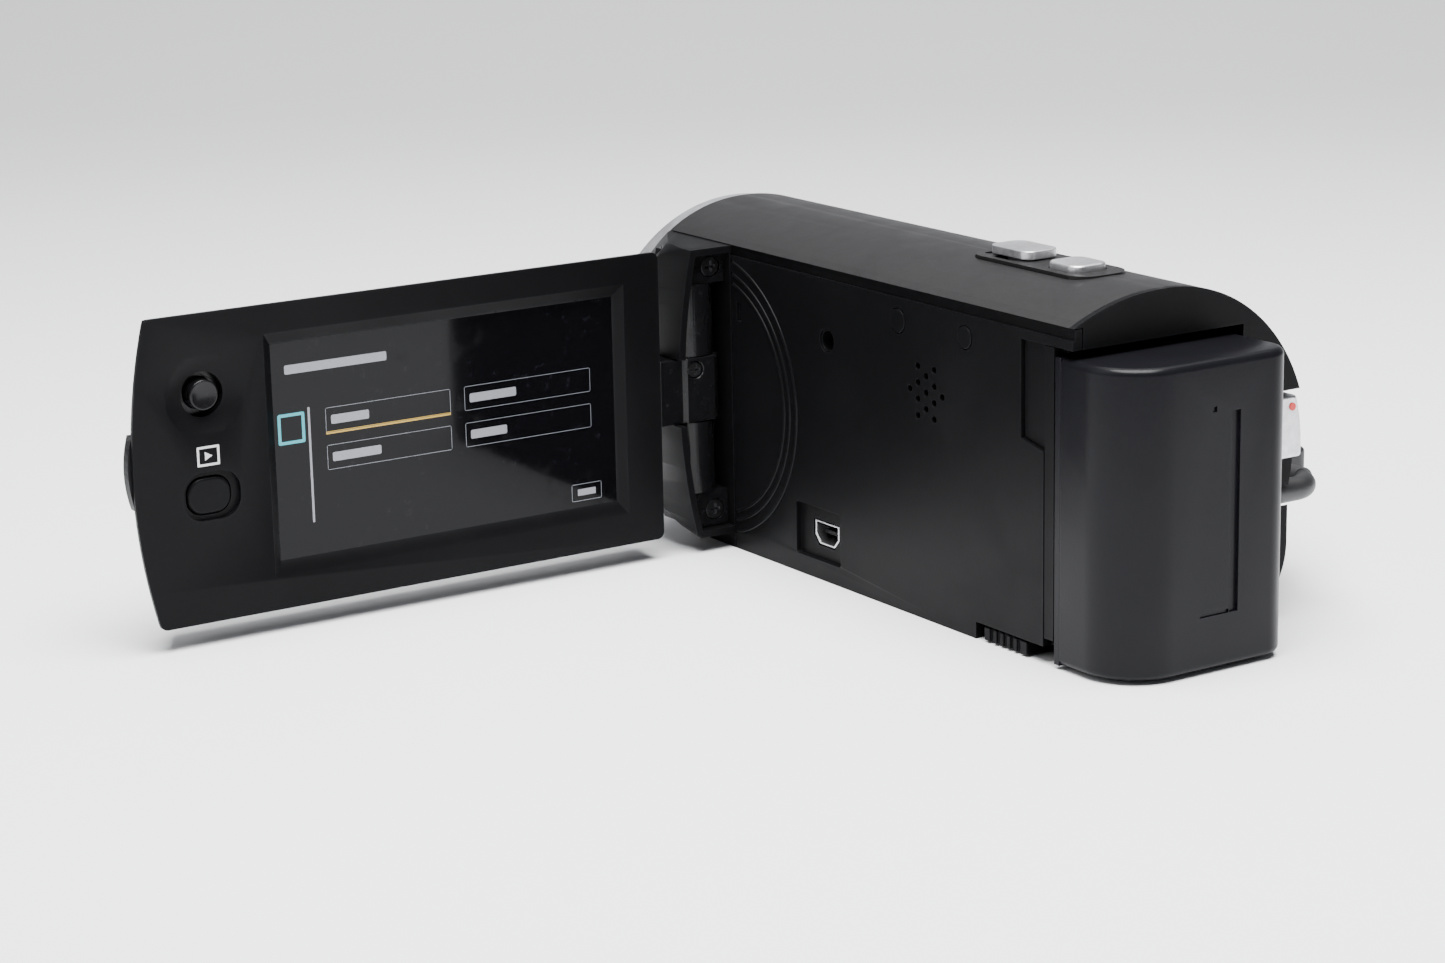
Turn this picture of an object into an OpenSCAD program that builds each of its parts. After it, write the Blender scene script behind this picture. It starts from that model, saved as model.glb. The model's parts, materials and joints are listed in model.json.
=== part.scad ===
// Compact camcorder with a swing-out display panel, millimetres.
// +Z is up, the lens faces -Y, the display side is +X, the base stands on z = 0.

/* [Body] */
// Radius of the rounded body section, half of the body height
body_r = 27; // [22.5:0.5:32.5]
// Length of the side wall behind the hinge cheek
body_len = 87; // [72.5:0.5:104.5]
// Length of the front part ahead of the side wall
front_len = 26; // [24:0.5:31]
// Distance of the flat side wall from the middle plane
wall_x = 17; // [16:0.5:18.5]
// Wall thickness of the covers
cover_t = 1.6; // [1.4:0.1:1.9]

/* [Display panel] */
// Thickness of the display panel
panel_t = 9; // [8.5:0.5:11]
// Depth of the display below the panel face
screen_drop = 1.3; // [1:0.1:1.6]
// Radius of the pivot pin of the panel hinge
hinge_pin_r = 1.6; // [1.3:0.1:2]

/* [Battery] */
// Width of the battery pack
battery_w = 31; // [26:0.5:32.5]
// Depth of the battery pack behind its mounting face
battery_d = 15.6; // [13:0.1:32]

/* [Hand strap] */
// How far the strap bows out from its lugs
strap_bow = 11; // [9:0.5:13.5]
// Width of the strap webbing
strap_w = 15; // [12:0.5:16]

/* [Base] */
// Wall radius of the tripod socket
socket_r = 3.175; // [3.175:0.001:4.763]

/* [Hidden] */
$fn = 64;
kz = body_r / 27;
ky = body_len / 87;
gap = 0.15;
run = 0.05;
axis_z = body_r;
socket_y = 30 * ky;

// body section
crease_z = 20 * kz;
crease_x = sqrt(body_r * body_r - (axis_z - crease_z) * (axis_z - crease_z)) + 0.1;
corner_r = 12 * kz;
shoulder_r = body_r * 4 / 3;
shoulder_x = 0.86 * kz;
shoulder_cz = 2 * body_r - shoulder_r;
shoulder_z = shoulder_cz + sqrt(shoulder_r * shoulder_r - (wall_x - shoulder_x) * (wall_x - shoulder_x));
side_z = 36 * kz;
side_x = 0.9 - sqrt(body_r * body_r - (shoulder_z - axis_z) * (shoulder_z - axis_z));
bench_z = 47 * kz;

// front
ring_r = body_r - 0.5;
ring_round = 1.8;
ring_in_r = ring_r - 2 * ring_round;
ring_y = -front_len;
nose_y = ring_y + 5;
nose_r = sqrt((ring_r + 0.1) * (ring_r + 0.1) + nose_y * nose_y);
window_w = 25;
window_h = 16;
blade_h = 8.7;
barrel_r = min(14.2, wall_x - cover_t - 1);
lens_r = barrel_r - 1.4;

// hinge
cheek_x = wall_x + panel_t + 1.2;
cheek_arc = 100;
cheek_z0 = 2.6 * kz;
cheek_z1 = shoulder_z - gap;
hinge_x = wall_x + 5.3;
hinge_y = -5.5;
block_r = 5.05;
block_flat = 4.35;
barrel_cover_r = 4.3;
pocket_y = -12;
block_h = 10.6;
block_z0 = axis_z - block_h / 2;
block_z1 = axis_z + block_h / 2;
barrel_z0 = 9.8 * kz;
barrel_z1 = 44.1 * kz;

// panel
panel_x = hinge_x + 8;
panel_y = hinge_x + hinge_y - wall_x - 0.5;
panel_mid_y = panel_y - panel_t / 2;
panel_back_y = panel_y - panel_t;
panel_h = 46.8 * kz;
panel_l = body_len + 3.6;
panel_arc = 90;
panel_corner = 1.2;
// How far the skin leans in between the face and the back
edge_t = 0.6;
lean_z = 3;
lean_x = 4.6;
bump_out = 0.5;
bump_arc = 19;
bump_half = 5.6;
bump_z = axis_z + 0.8;
panel_z0 = axis_z - panel_h / 2;
panel_z1 = axis_z + panel_h / 2;
panel_wall = 1.4;
face_t = 2.3;
frame_x0 = panel_x + 6.5;
frame_w = panel_l - 28.3;
frame_z0 = panel_z0 + 5.1 * kz;
frame_h = panel_h - 9.5 * kz;
view_x0 = frame_x0 + 1.5;
view_w = frame_w - 3.1;
view_z0 = frame_z0 + 2.1 * kz;
view_h = frame_h - 4.1 * kz;
shaft_r = 1.9;
key_x = panel_x + panel_l - 12;
stick_z = panel_z0 + 34.5 * kz;
play_z = panel_z0 + 19.3 * kz;
stick_r = 2.3;
stick_hole_r = 3.4;
flange_r = 4.2;
dish_r = 14;
dish_up = 12.4;
pivot_y = panel_y - 4.2;

// places on the display-side wall
port_y = 24.75 * ky;
port_z = 7.3;
jack_y = 26.7 * ky;
jack_z = 38.8 * kz;
speaker_y = 52.35 * ky;
speaker_z = 35.1 * kz;
power_y = 45.4 * ky;
power_z = 44.9 * kz;
light_y = 61.9 * ky;
light_z = 45 * kz;
notch_y0 = 75.1 * ky;
notch_y1 = 80.3 * ky;
notch_z0 = 32.5 * kz;
notch_low = 31.4 * kz;
slider_y = 66.5 * ky;
slider_cut_y = 64.5 * ky;

// base
door_y = 52 * ky;
base_screw_spots = [[-10.5, 5], [11.5, 5], [-11.5, 42 * ky], [11.5, 50 * ky]];
pocket_screw_z = [6.6 * kz, 46.7 * kz];

// rear and battery
batt_x0 = wall_x - battery_w;
batt_y0 = body_len - 4.2;
batt_y1 = batt_y0 + battery_d;
batt_z0 = 0.6;
batt_z1 = bench_z - 1.4;
rear_y = body_len - 3;
end_t = 1;
frame_y0 = batt_y0 - 3.3;
pad_pitch = 5;
pad_x = wall_x - battery_w / 2;
pad_z0 = 12;
pad_z1 = 22 * kz;

// strap
lug_y0 = 6;
lug_y1 = body_len - 18;
bar_x = -(body_r + 3.2);
bar_r = 1.2;
strap_t = 1.2;
strap_z0 = axis_z - 2.2;
strap_half = (lug_y1 - lug_y0) / 2;
strap_mid_y = (lug_y1 + lug_y0) / 2;
strap_r = (strap_half * strap_half + strap_bow * strap_bow) / (2 * strap_bow);
strap_cx = bar_x - strap_bow + strap_r;
strap_a = asin(strap_half / strap_r);
pad_a = strap_a * 0.62;

// lead
lead_r = 1.8;
// Collar moulded round the lead where it bends
lead_collar = 0.3;
lead_z = axis_z - 7.8;
lead_y = body_len - 5;
lead_x = bar_x - 3.3;
lead_turn = 4;
lead_sweep_r = 30;
lead_a = 12;
plug_x = lead_x - lead_sweep_r * (1 - cos(lead_a));
plug_y = lead_y - lead_turn - lead_sweep_r * sin(lead_a);

// record button
record_z0 = axis_z - 1.6;
record_z1 = axis_z + 7.9;
record_out = 2.2;

// top controls
pod_x = 0.7;
pod_y = body_len - 26;
pod_w = 10;
pod_l = 27;
photo_y = pod_y + 6.6;
photo_w = 6.6;
photo_l = 7.2;
lever_y = pod_y - 6;
lever_w = 6.4;
lever_l = 9.6;
stem_w = 3;
stem_l = 5;
zoom_reach = 2.2;
pod_z = 2 * body_r + 0.2;

c_graphite = [0.27, 0.27, 0.28];
c_black = [0.06, 0.06, 0.065];
c_gloss = [0.03, 0.03, 0.035];
c_silver = [0.72, 0.72, 0.74];
c_steel = [0.55, 0.55, 0.57];
c_brass = [0.75, 0.6, 0.3];
c_board = [0.08, 0.28, 0.16];
c_glass = [0.5, 0.55, 0.65];
c_pack = [0.12, 0.12, 0.125];
c_cloth = [0.05, 0.05, 0.055];

// Origin at the mouth of the tripod socket
module placed() {
  translate([0, -socket_y, 0]) children();
}

module along_y(y0, y1) {
  translate([0, y1, 0]) rotate([90, 0, 0]) linear_extrude(height = y1 - y0) children();
}

module along_x(x0, x1) {
  translate([x0, 0, 0]) rotate([90, 0, 90]) linear_extrude(height = x1 - x0) children();
}

module along_z(z0, z1) {
  translate([0, 0, z0]) linear_extrude(height = z1 - z0) children();
}

module rod_y(x, z, r, y0, y1) {
  translate([x, y0, z]) rotate([-90, 0, 0]) cylinder(r = r, h = y1 - y0);
}

module rod_x(y, z, r, x0, x1) {
  translate([x0, y, z]) rotate([0, 90, 0]) cylinder(r = r, h = x1 - x0);
}

module rod_z(x, y, r, z0, z1) {
  translate([x, y, z0]) cylinder(r = r, h = z1 - z0);
}

module block(x0, x1, y0, y1, z0, z1) {
  translate([x0, y0, z0]) cube([x1 - x0, y1 - y0, z1 - z0]);
}

module rrect(w, h, r) {
  square([w - 2 * r, h], center = true);
  square([w, h - 2 * r], center = true);
  for (sx = [-1, 1], sy = [-1, 1]) {
    translate([sx * (w / 2 - r), sy * (h / 2 - r)]) circle(r = r);
  }
}

// Spins a profile drawn as (radius, y) about the lens axis
module spun() {
  translate([0, 0, axis_z]) rotate([-90, 0, 0]) rotate_extrude($fn = 96) children();
}

// Outline of the body across the lens axis, inset by g
module body_sec(g = 0) {
  intersection() {
    union() {
      intersection() {
        translate([0, axis_z]) circle(r = body_r - g, $fn = 128);
        translate([-2 * body_r, crease_z]) square([4 * body_r, 4 * body_r]);
      }
      intersection() {
        translate([shoulder_x, shoulder_cz]) circle(r = shoulder_r - g, $fn = 128);
        translate([shoulder_x, crease_z]) square([2 * body_r, 4 * body_r]);
      }
      translate([g - crease_x, corner_r]) square([crease_x + wall_x, crease_z + 2 - corner_r]);
      translate([corner_r - crease_x, 0]) square([crease_x - corner_r + wall_x, corner_r]);
      translate([corner_r - crease_x, corner_r]) circle(r = corner_r - g);
    }
    translate([-3 * body_r, g]) square([3 * body_r + wall_x - g, 4 * body_r]);
  }
}

module top_zone(g = 0) {
  translate([-3 * body_r, shoulder_z + g]) square([6 * body_r, 2 * body_r]);
  translate([-3 * body_r, side_z + g]) square([3 * body_r + side_x - g, 2 * body_r]);
}

module cheek_sec(g = 0) {
  intersection() {
    translate([cheek_x - cheek_arc, axis_z]) circle(r = cheek_arc - g, $fn = 128);
    translate([cheek_x / 2, (cheek_z0 + cheek_z1) / 2])
      rrect(cheek_x + 0.6 - 2 * g, cheek_z1 - cheek_z0 - 2 * g, 3.4 - g);
  }
}

// Everything outside the nose, which narrows in three bands towards the lens ring
module nose_trim() {
  spun() polygon([[ring_r + 0.1, nose_y - 1], [ring_r + 0.1, nose_y], [nose_r * cos(30), -nose_r * sin(30)],
                  [nose_r * cos(15), -nose_r * sin(15)], [nose_r + 0.3, 1], [2 * nose_r, 1], [2 * nose_r, nose_y - 1]]);
}

module front_housing() {
  color(c_black) placed() difference() {
    union() {
      along_y(nose_y, 0) difference() {
        body_sec();
        top_zone(-gap);
      }
      along_y(nose_y, 0) cheek_sec();
    }
    nose_trim();
    along_y(nose_y + 1.5, 1) body_sec(cover_t);
    rod_y(0, axis_z, ring_in_r - 1.7, nose_y - 1, nose_y + 2);
    along_y(pocket_y, 1) intersection() {
      cheek_sec(1.1);
      translate([wall_x + gap, 0]) square([body_r, 3 * body_r]);
    }
    block(wall_x + gap, cheek_x + 2, pocket_y + 1.4, 1, block_z0 - 0.2, block_z1 + 0.2);
  }
}

module lens_ring() {
  color(c_silver) placed() spun() {
    translate([ring_in_r, ring_y + ring_round]) square([2 * ring_round, 5 - ring_round]);
    translate([ring_in_r + ring_round, ring_y + ring_round]) circle(r = ring_round);
  }
}

module lens_bezel() {
  color(c_gloss) placed() difference() {
    union() {
      rod_y(0, axis_z, ring_in_r - 0.2, nose_y - 1.3, nose_y - 0.1);
      difference() {
        rod_y(0, axis_z, ring_in_r - 0.2, nose_y - 3.4, nose_y - 0.6);
        rod_y(0, axis_z, ring_in_r - 2.2, nose_y - 4, nose_y - 1.3);
      }
    }
    along_y(nose_y - 5, nose_y + 1) translate([0, axis_z]) rrect(window_w, window_h, 4);
    for (s = [-1, 1]) {
      along_y(nose_y - 5, nose_y + 1) translate([s * 6, axis_z - 14]) rrect(7, 1.8, 0.85);
    }
  }
}

module mic_meshes() {
  color(c_steel) placed() {
    for (s = [-1, 1]) {
      along_y(nose_y - 1.1, nose_y - 0.4) translate([s * 6, axis_z - 14]) rrect(6.7, 1.5, 0.7);
    }
  }
}

module shutter(s) {
  along_y(nose_y + 0.3, nose_y + 1.1) intersection() {
    translate([0, axis_z]) circle(r = ring_in_r - 2);
    translate([-14, s > 0 ? axis_z + blade_h : axis_z - 2 * blade_h + 0.1])
      square([28, blade_h - 0.1]);
  }
}

module shutter_upper() {
  color(c_black) placed() shutter(1);
}

module shutter_lower() {
  color(c_black) placed() shutter(-1);
}

module lens_barrel() {
  color(c_black) placed() difference() {
    union() {
      rod_y(0, axis_z, barrel_r, nose_y + 1.7, 14);
      intersection() {
        rod_y(0, axis_z, ring_in_r - 0.6, nose_y + 1.7, nose_y + 3);
        along_y(nose_y + 1.6, nose_y + 3.2) body_sec(cover_t + 0.2);
      }
    }
    rod_y(0, axis_z, lens_r + 0.02, nose_y + 1, nose_y + 8);
    rod_y(0, axis_z, lens_r - 2, nose_y + 7, 12.4);
    rod_y(0, axis_z, 6, 12, 15);
  }
}

module front_element() {
  color(c_glass) placed() intersection() {
    rod_y(0, axis_z, lens_r, nose_y + 2.2, nose_y + 8);
    translate([0, nose_y + 2.4 + 24, axis_z]) sphere(r = 24, $fn = 96);
  }
}

module rear_elements() {
  color(c_glass) placed() {
    rod_y(0, axis_z, lens_r - 2.02, nose_y + 11, nose_y + 14);
    rod_y(0, axis_z, lens_r - 2.02, nose_y + 19, nose_y + 22);
    rod_y(0, axis_z, lens_r - 2.02, nose_y + 27, nose_y + 29);
  }
}

module image_sensor() {
  color(c_board) placed() {
    block(-9, 9, 14, 15.2, axis_z - 9, axis_z + 9);
    block(-4.4, 4.4, 13.2, 14, axis_z - 3.4, axis_z + 3.4);
  }
}

module top_shell(y0, y1) {
  along_y(y0, y1) intersection() {
    difference() {
      body_sec();
      body_sec(cover_t);
    }
    top_zone();
  }
}

module top_cover() {
  color(c_graphite) placed() difference() {
    union() {
      difference() {
        top_shell(nose_y, 0);
        nose_trim();
      }
      top_shell(0, body_len - end_t - gap);
    }
    along_z(shoulder_z - 3, 3 * body_r) translate([pod_x, pod_y]) rrect(pod_w + 0.3, pod_l + 0.3, 3.65);
  }
}

module speaker_hole(i, j) {
  translate([speaker_y + i * 2, speaker_z + j * 1.25]) circle(r = 0.55, $fn = 24);
}

// Outline of the digital socket, inset by g
module port_sec(g = 0) {
  translate([port_y, port_z]) polygon([
    [g - 3.25, 1.9 - g], [3.25 - g, 1.9 - g], [3.25 - g, g * 0.4 - 0.5],
    [2 - g * 0.6, g - 1.9], [g * 0.6 - 2, g - 1.9], [g - 3.25, g * 0.4 - 0.5]]);
}

module left_cover() {
  color(c_black) placed() difference() {
    along_x(wall_x - cover_t, wall_x) difference() {
      polygon([[gap, 0], [notch_y1, 0], [notch_y1, notch_low], [notch_y0, notch_z0],
               [notch_y0, bench_z], [body_len - 0.2, bench_z], [body_len - 0.2, shoulder_z - gap],
               [gap, shoulder_z - gap]]);
      translate([power_y, power_z]) circle(r = 1.95);
      translate([light_y, light_z]) circle(r = 1.8);
      translate([jack_y, jack_z]) circle(r = 1.85);
      port_sec(-0.2);
      translate([slider_cut_y, -1]) square([30, 3.6]);
      for (i = [-2 : 2], j = [-3 : 3]) {
        if ((i + j) % 2 == 0 && (abs(i) < 2 || j == 0)) speaker_hole(i, j);
      }
    }
    along_x(wall_x - 0.9, wall_x + 1) translate([23.75 * ky, 7.35]) rrect(12.1, 8.5, 0.5);
    block(wall_x - 0.4, wall_x + 1, -1, body_len + 1, shoulder_z - 1.75, shoulder_z + 1);
    for (r = [23.2, 21.3, 19.8]) {
      along_x(wall_x - 0.35, wall_x + 1) translate([-4.7, 25.1 * kz]) difference() {
        circle(r = r * kz, $fn = 128);
        circle(r = r * kz - 0.55, $fn = 128);
      }
    }
    block(wall_x - 0.5, wall_x + 1, 1.6, 2.8, 38 * kz, 41 * kz);
  }
}

module right_cover() {
  color(c_black) placed() difference() {
    union() {
      along_y(gap, rear_y) difference() {
        body_sec();
        body_sec(cover_t);
        top_zone(-gap);
        translate([corner_r - crease_x, -1]) square([3 * body_r, 6 * body_r]);
      }
      along_y(rear_y - cover_t, rear_y) difference() {
        body_sec();
        top_zone(-gap);
        translate([batt_x0 - 0.45, -1]) square([3 * body_r, 6 * body_r]);
      }
    }
    block(-2 * body_r, -body_r + 6.7, rear_y - 4, rear_y + 1, record_z0 - 0.2, record_z1 + 0.2);
    rod_x(lead_y, lead_z, 2.5, -2 * body_r, -crease_x + 3);
    rod_x(16, 15.5 * kz, 2.5, -2 * body_r, -crease_x + 3);
    rod_y(-18.5 * kz, 14 * kz, 0.95, rear_y - 3, rear_y + 1);
  }
}

module base_cover() {
  color(c_black) placed() difference() {
    along_z(0, cover_t) difference() {
      translate([corner_r - crease_x + gap, gap])
        square([wall_x - cover_t - gap + crease_x - corner_r - gap, batt_y0 - 3.6 - gap]);
      translate([0, socket_y]) circle(r = socket_r + 2.45);
      translate([-11, door_y]) square([14.3, 20.3]);
      translate([7.4, slider_cut_y]) square([20, 30]);
    }
    for (p = base_screw_spots) {
      rod_z(p[0], p[1], 1.8, -1, 0.9);
    }
  }
}

module base_screws() {
  color(c_steel) placed() {
    for (p = base_screw_spots) {
      difference() {
        rod_z(p[0], p[1], 1.6, 0.2, 0.9);
        translate([p[0] - 1, p[1] - 0.2, 0]) cube([2, 0.4, 0.5]);
        translate([p[0] - 0.2, p[1] - 1, 0]) cube([0.4, 2, 0.5]);
      }
    }
  }
}

module card_door() {
  color(c_black) placed() difference() {
    block(-10.85, 3.15, door_y + 0.15, door_y + 20.15, 0.3, cover_t);
    block(1.6, 2.4, door_y + 7, door_y + 13, 0, 0.8);
  }
}

// Filler behind the notch in the display-side cover, drawn in (y, z)
module notch_sec() {
  polygon([[notch_y0 + gap, notch_z0 + 0.2], [notch_y1 - 0.1, notch_low + 0.2], [notch_y1 - 0.1, bench_z - gap],
           [notch_y0 + gap, bench_z - gap]]);
}

module rear_frame() {
  color(c_black) placed() difference() {
    union() {
      block(batt_x0 - 0.2, wall_x - cover_t - gap, frame_y0, batt_y0 - 0.3, cover_t + 1, bench_z);
      along_y(batt_y0 - 0.3, body_len - 0.1) intersection() {
        body_sec(cover_t + gap);
        union() {
          translate([batt_x0 - 0.3, bench_z]) square([3 * body_r, 2 * body_r]);
          translate([-3 * body_r, side_z + 1.2]) square([3 * body_r + batt_x0 - 0.3, 2 * body_r]);
        }
      }
      along_y(body_len - end_t - 0.1, body_len - 0.1) intersection() {
        body_sec();
        union() {
          translate([batt_x0 - 0.3, bench_z]) square([battery_w - cover_t - gap + 0.3, 2 * body_r]);
          translate([0, shoulder_z]) square([2 * body_r, body_r]);
          translate([-3 * body_r, side_z]) square([3 * body_r + batt_x0 - 0.3, 2 * body_r]);
        }
      }
      block(batt_x0 - 0.2, wall_x - cover_t - gap, batt_y0 - 1, batt_y0 + 1, bench_z - 0.9, bench_z + 0.1);
      along_x(wall_x - cover_t - gap, wall_x - 0.6) notch_sec();
      block(wall_x - cover_t - gap, wall_x - 0.1, notch_y1 + gap, batt_y0 - 0.3, 3.9, bench_z - gap);
      along_x(wall_x - cover_t - 2, wall_x - 0.6) intersection() {
        notch_sec();
        square([frame_y0 + 1, 3 * body_r]);
      }
    }
    for (i = [-1, 0, 1]) {
      block(pad_x + i * pad_pitch - 1.1, pad_x + i * pad_pitch + 1.1,
            batt_y0 - 2.3, batt_y0 + 1, pad_z0 - 1, pad_z1 + kz);
    }
  }
}

module body_terminals() {
  color(c_brass) placed() {
    for (i = [-1, 0, 1]) {
      block(pad_x + i * pad_pitch - 0.8, pad_x + i * pad_pitch + 0.8,
            batt_y0 - 2.3, batt_y0 - 0.2, pad_z0, pad_z1);
    }
  }
}

module inner_chassis() {
  color(c_steel) placed() difference() {
    union() {
      block(-12, 8.6, 18, frame_y0 - 1, 7, 8.2);
      block(-12, -10.8, 18, frame_y0 - 1, 7, axis_z + 10 * kz);
      block(-12, 8.6, 18, 19.2, 7, axis_z + 10 * kz);
      block(-12, 8.6, frame_y0 - 1, frame_y0, 7, axis_z + 10 * kz);
    }
    rod_y(0, axis_z, 5, 17, 20);
  }
}

module main_board() {
  color(c_board) placed() {
    block(8.6, 9.8, 18, 74 * ky, 3, 44 * kz);
    block(6.2, 8.6, 30 * ky, 42 * ky, 20 * kz, 32 * kz);
    block(6.8, 8.6, 50 * ky, 58 * ky, 24 * kz, 34 * kz);
  }
}

module tripod_insert() {
  color(c_steel) placed() difference() {
    union() {
      rod_z(0, socket_y, socket_r + 2.4, 0, 7);
      rod_z(0, socket_y, socket_r + 3.6, cover_t, 4);
    }
    rod_z(0, socket_y, socket_r, -1, 5.5);
  }
}

module speaker() {
  color(c_black) placed() {
    rod_x(speaker_y, speaker_z, 6.4, wall_x - cover_t - 2.4, wall_x - cover_t);
    rod_x(speaker_y, speaker_z, 4, 9.8, wall_x - cover_t - 2.4);
  }
}

module digital_socket() {
  color(c_steel) placed() along_x(9.8, wall_x - 1) difference() {
    port_sec();
    port_sec(0.35);
  }
}

module socket_tongue() {
  color(c_black) placed() {
    along_x(9.8, 10.8) port_sec(0.45);
    block(10.8, wall_x - 2.2, port_y - 2, port_y + 2, 7, 7.6);
  }
}

module phones_jack() {
  color(c_black) placed() difference() {
    union() {
      rod_x(jack_y, jack_z, 3.4, 10.2, wall_x - cover_t);
      rod_x(jack_y, jack_z, 1.8, wall_x - cover_t - 1, wall_x - 0.3);
      block(10.2, 12.2, jack_y - 3, jack_y + 3, jack_z - 3, jack_z + 3);
    }
    rod_x(jack_y, jack_z, 1.6, 11, wall_x + 1);
  }
}

module hinge_cover() {
  color(c_gloss) placed() difference() {
    intersection() {
      union() {
        block(wall_x, cheek_x, pocket_y, pocket_y + 1.3, 0, 3 * body_r);
        block(wall_x, cheek_x, pocket_y + 1.3, -1.7, 0, barrel_z0);
        block(wall_x, cheek_x, pocket_y + 1.3, -1.7, barrel_z1, 3 * body_r);
        rod_z(hinge_x, hinge_y, barrel_cover_r, barrel_z0, block_z0 - 0.15);
        rod_z(hinge_x, hinge_y, barrel_cover_r, block_z1 + 0.15, barrel_z1);
        block(hinge_x - 2, hinge_x + 2, pocket_y + 1, hinge_y, barrel_z0, block_z0 - 0.15);
        block(hinge_x - 2, hinge_x + 2, pocket_y + 1, hinge_y, block_z1 + 0.15, barrel_z1);
      }
      along_y(pocket_y, 0) intersection() {
        cheek_sec(1.25);
        translate([wall_x + 0.3, 0]) square([body_r, 3 * body_r]);
      }
    }
    rod_z(hinge_x, hinge_y, hinge_pin_r + run, block_z0 - 8, block_z1 + 8);
    for (z = pocket_screw_z) rod_y(wall_x + 2.8, z, 1.75, -2.5, 1);
  }
}

module pocket_screws() {
  color(c_steel) placed() {
    for (z = pocket_screw_z) {
      difference() {
        rod_y(wall_x + 2.8, z, 1.6, -2.5, -1.8);
        block(wall_x + 1.9, wall_x + 3.7, -2.1, -1, z - 0.2, z + 0.2);
        block(wall_x + 2.6, wall_x + 3, -2.1, -1, z - 0.9, z + 0.9);
      }
    }
  }
}

module hinge_pin() {
  color(c_steel) placed() rod_z(hinge_x, hinge_y, hinge_pin_r, block_z0 - 7.8, block_z1 + 7.8);
}

module hinge_block() {
  color(c_gloss) placed() difference() {
    union() {
      along_z(block_z0, block_z1) translate([hinge_x, hinge_y]) intersection() {
        circle(r = block_r);
        square(2 * block_flat, center = true);
      }
      block(hinge_x, panel_x - 0.5, panel_mid_y - 3.6, panel_mid_y + 3.6, block_z0, block_z1);
    }
    rod_z(hinge_x, hinge_y, hinge_pin_r + run, block_z0 - 1, block_z1 + 1);
    rod_x(panel_mid_y, axis_z, shaft_r + 0.02, hinge_x + 3.2, panel_x);
    rod_y(hinge_x + 1, block_z1 - 2, 1.4, hinge_y + block_flat - 1.2, hinge_y + block_flat + 1);
  }
}

module block_screw() {
  color(c_steel) placed() difference() {
    rod_y(hinge_x + 1, block_z1 - 2, 1.25, hinge_y + block_flat - 1.2, hinge_y + block_flat - 0.3);
    block(hinge_x + 0.2, hinge_x + 1.8, hinge_y + block_flat - 0.7, hinge_y + block_flat, block_z1 - 2.2, block_z1 - 1.8);
    block(hinge_x + 0.8, hinge_x + 1.2, hinge_y + block_flat - 0.7, hinge_y + block_flat, block_z1 - 2.8, block_z1 - 1.2);
  }
}

module swivel_shaft() {
  color(c_steel) placed() rod_x(panel_mid_y, axis_z, shaft_r, hinge_x + 3.2, panel_x + 5);
}

// Outline of the display panel, inset by g
module panel_sec(g = 0) {
  offset(r = panel_corner, $fn = 24) offset(delta = -panel_corner - g) intersection() {
    translate([panel_x, panel_z0]) square([panel_l + 5, panel_h]);
    translate([panel_x + panel_l - panel_arc, axis_z]) circle(r = panel_arc, $fn = 160);
  }
}

// The panel's own shape, its skin leaning in towards the back, inset by g
module panel_form(g = 0) {
  intersection() {
    along_y(panel_back_y + g, panel_y) panel_sec(g);
    along_x(panel_x - 1, panel_x + panel_l + 5) polygon([
      [panel_y + 1, panel_z0 + g], [panel_y - edge_t, panel_z0 + g], [panel_back_y, panel_z0 + lean_z + g],
      [panel_back_y, panel_z1 - lean_z - g], [panel_y - edge_t, panel_z1 - g], [panel_y + 1, panel_z1 - g]]);
    translate([panel_x + panel_l - panel_arc, panel_y - edge_t, axis_z]) rotate([90, 0, 0])
      translate([0, 0, -edge_t - 1]) cylinder(r1 = panel_arc - g + (edge_t + 1) * lean_x / (panel_t - edge_t),
        r2 = panel_arc - g - lean_x, h = panel_t + 1, $fn = 160);
  }
}

module panel_bump() {
  intersection() {
    translate([panel_x + panel_l + bump_out - bump_arc, bump_z]) circle(r = bump_arc, $fn = 96);
    translate([panel_x + panel_l - 4, bump_z - bump_half]) square([6, 2 * bump_half]);
  }
}

module panel_shell() {
  color(c_graphite) placed() difference() {
    intersection() {
      panel_form();
      block(panel_x - 1, panel_x + panel_l + 5, panel_back_y - 1, panel_y - face_t, 0, 3 * body_r);
    }
    difference() {
      panel_form(panel_wall);
      block(panel_x, panel_x + 5.6, panel_back_y, panel_y, axis_z - 5, axis_z + 5);
    }
    rod_x(panel_mid_y, axis_z, shaft_r + run, panel_x - 1, panel_x + 6);
    for (z = [panel_z0 + 6, panel_z1 - 6]) rod_x(panel_mid_y, z, 1.25, panel_x - 1, panel_x + 0.7);
  }
}

module panel_screws() {
  color(c_steel) placed() {
    for (z = [panel_z0 + 6, panel_z1 - 6]) rod_x(panel_mid_y, z, 1.1, panel_x + 0.1, panel_x + 0.7);
  }
}

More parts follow.
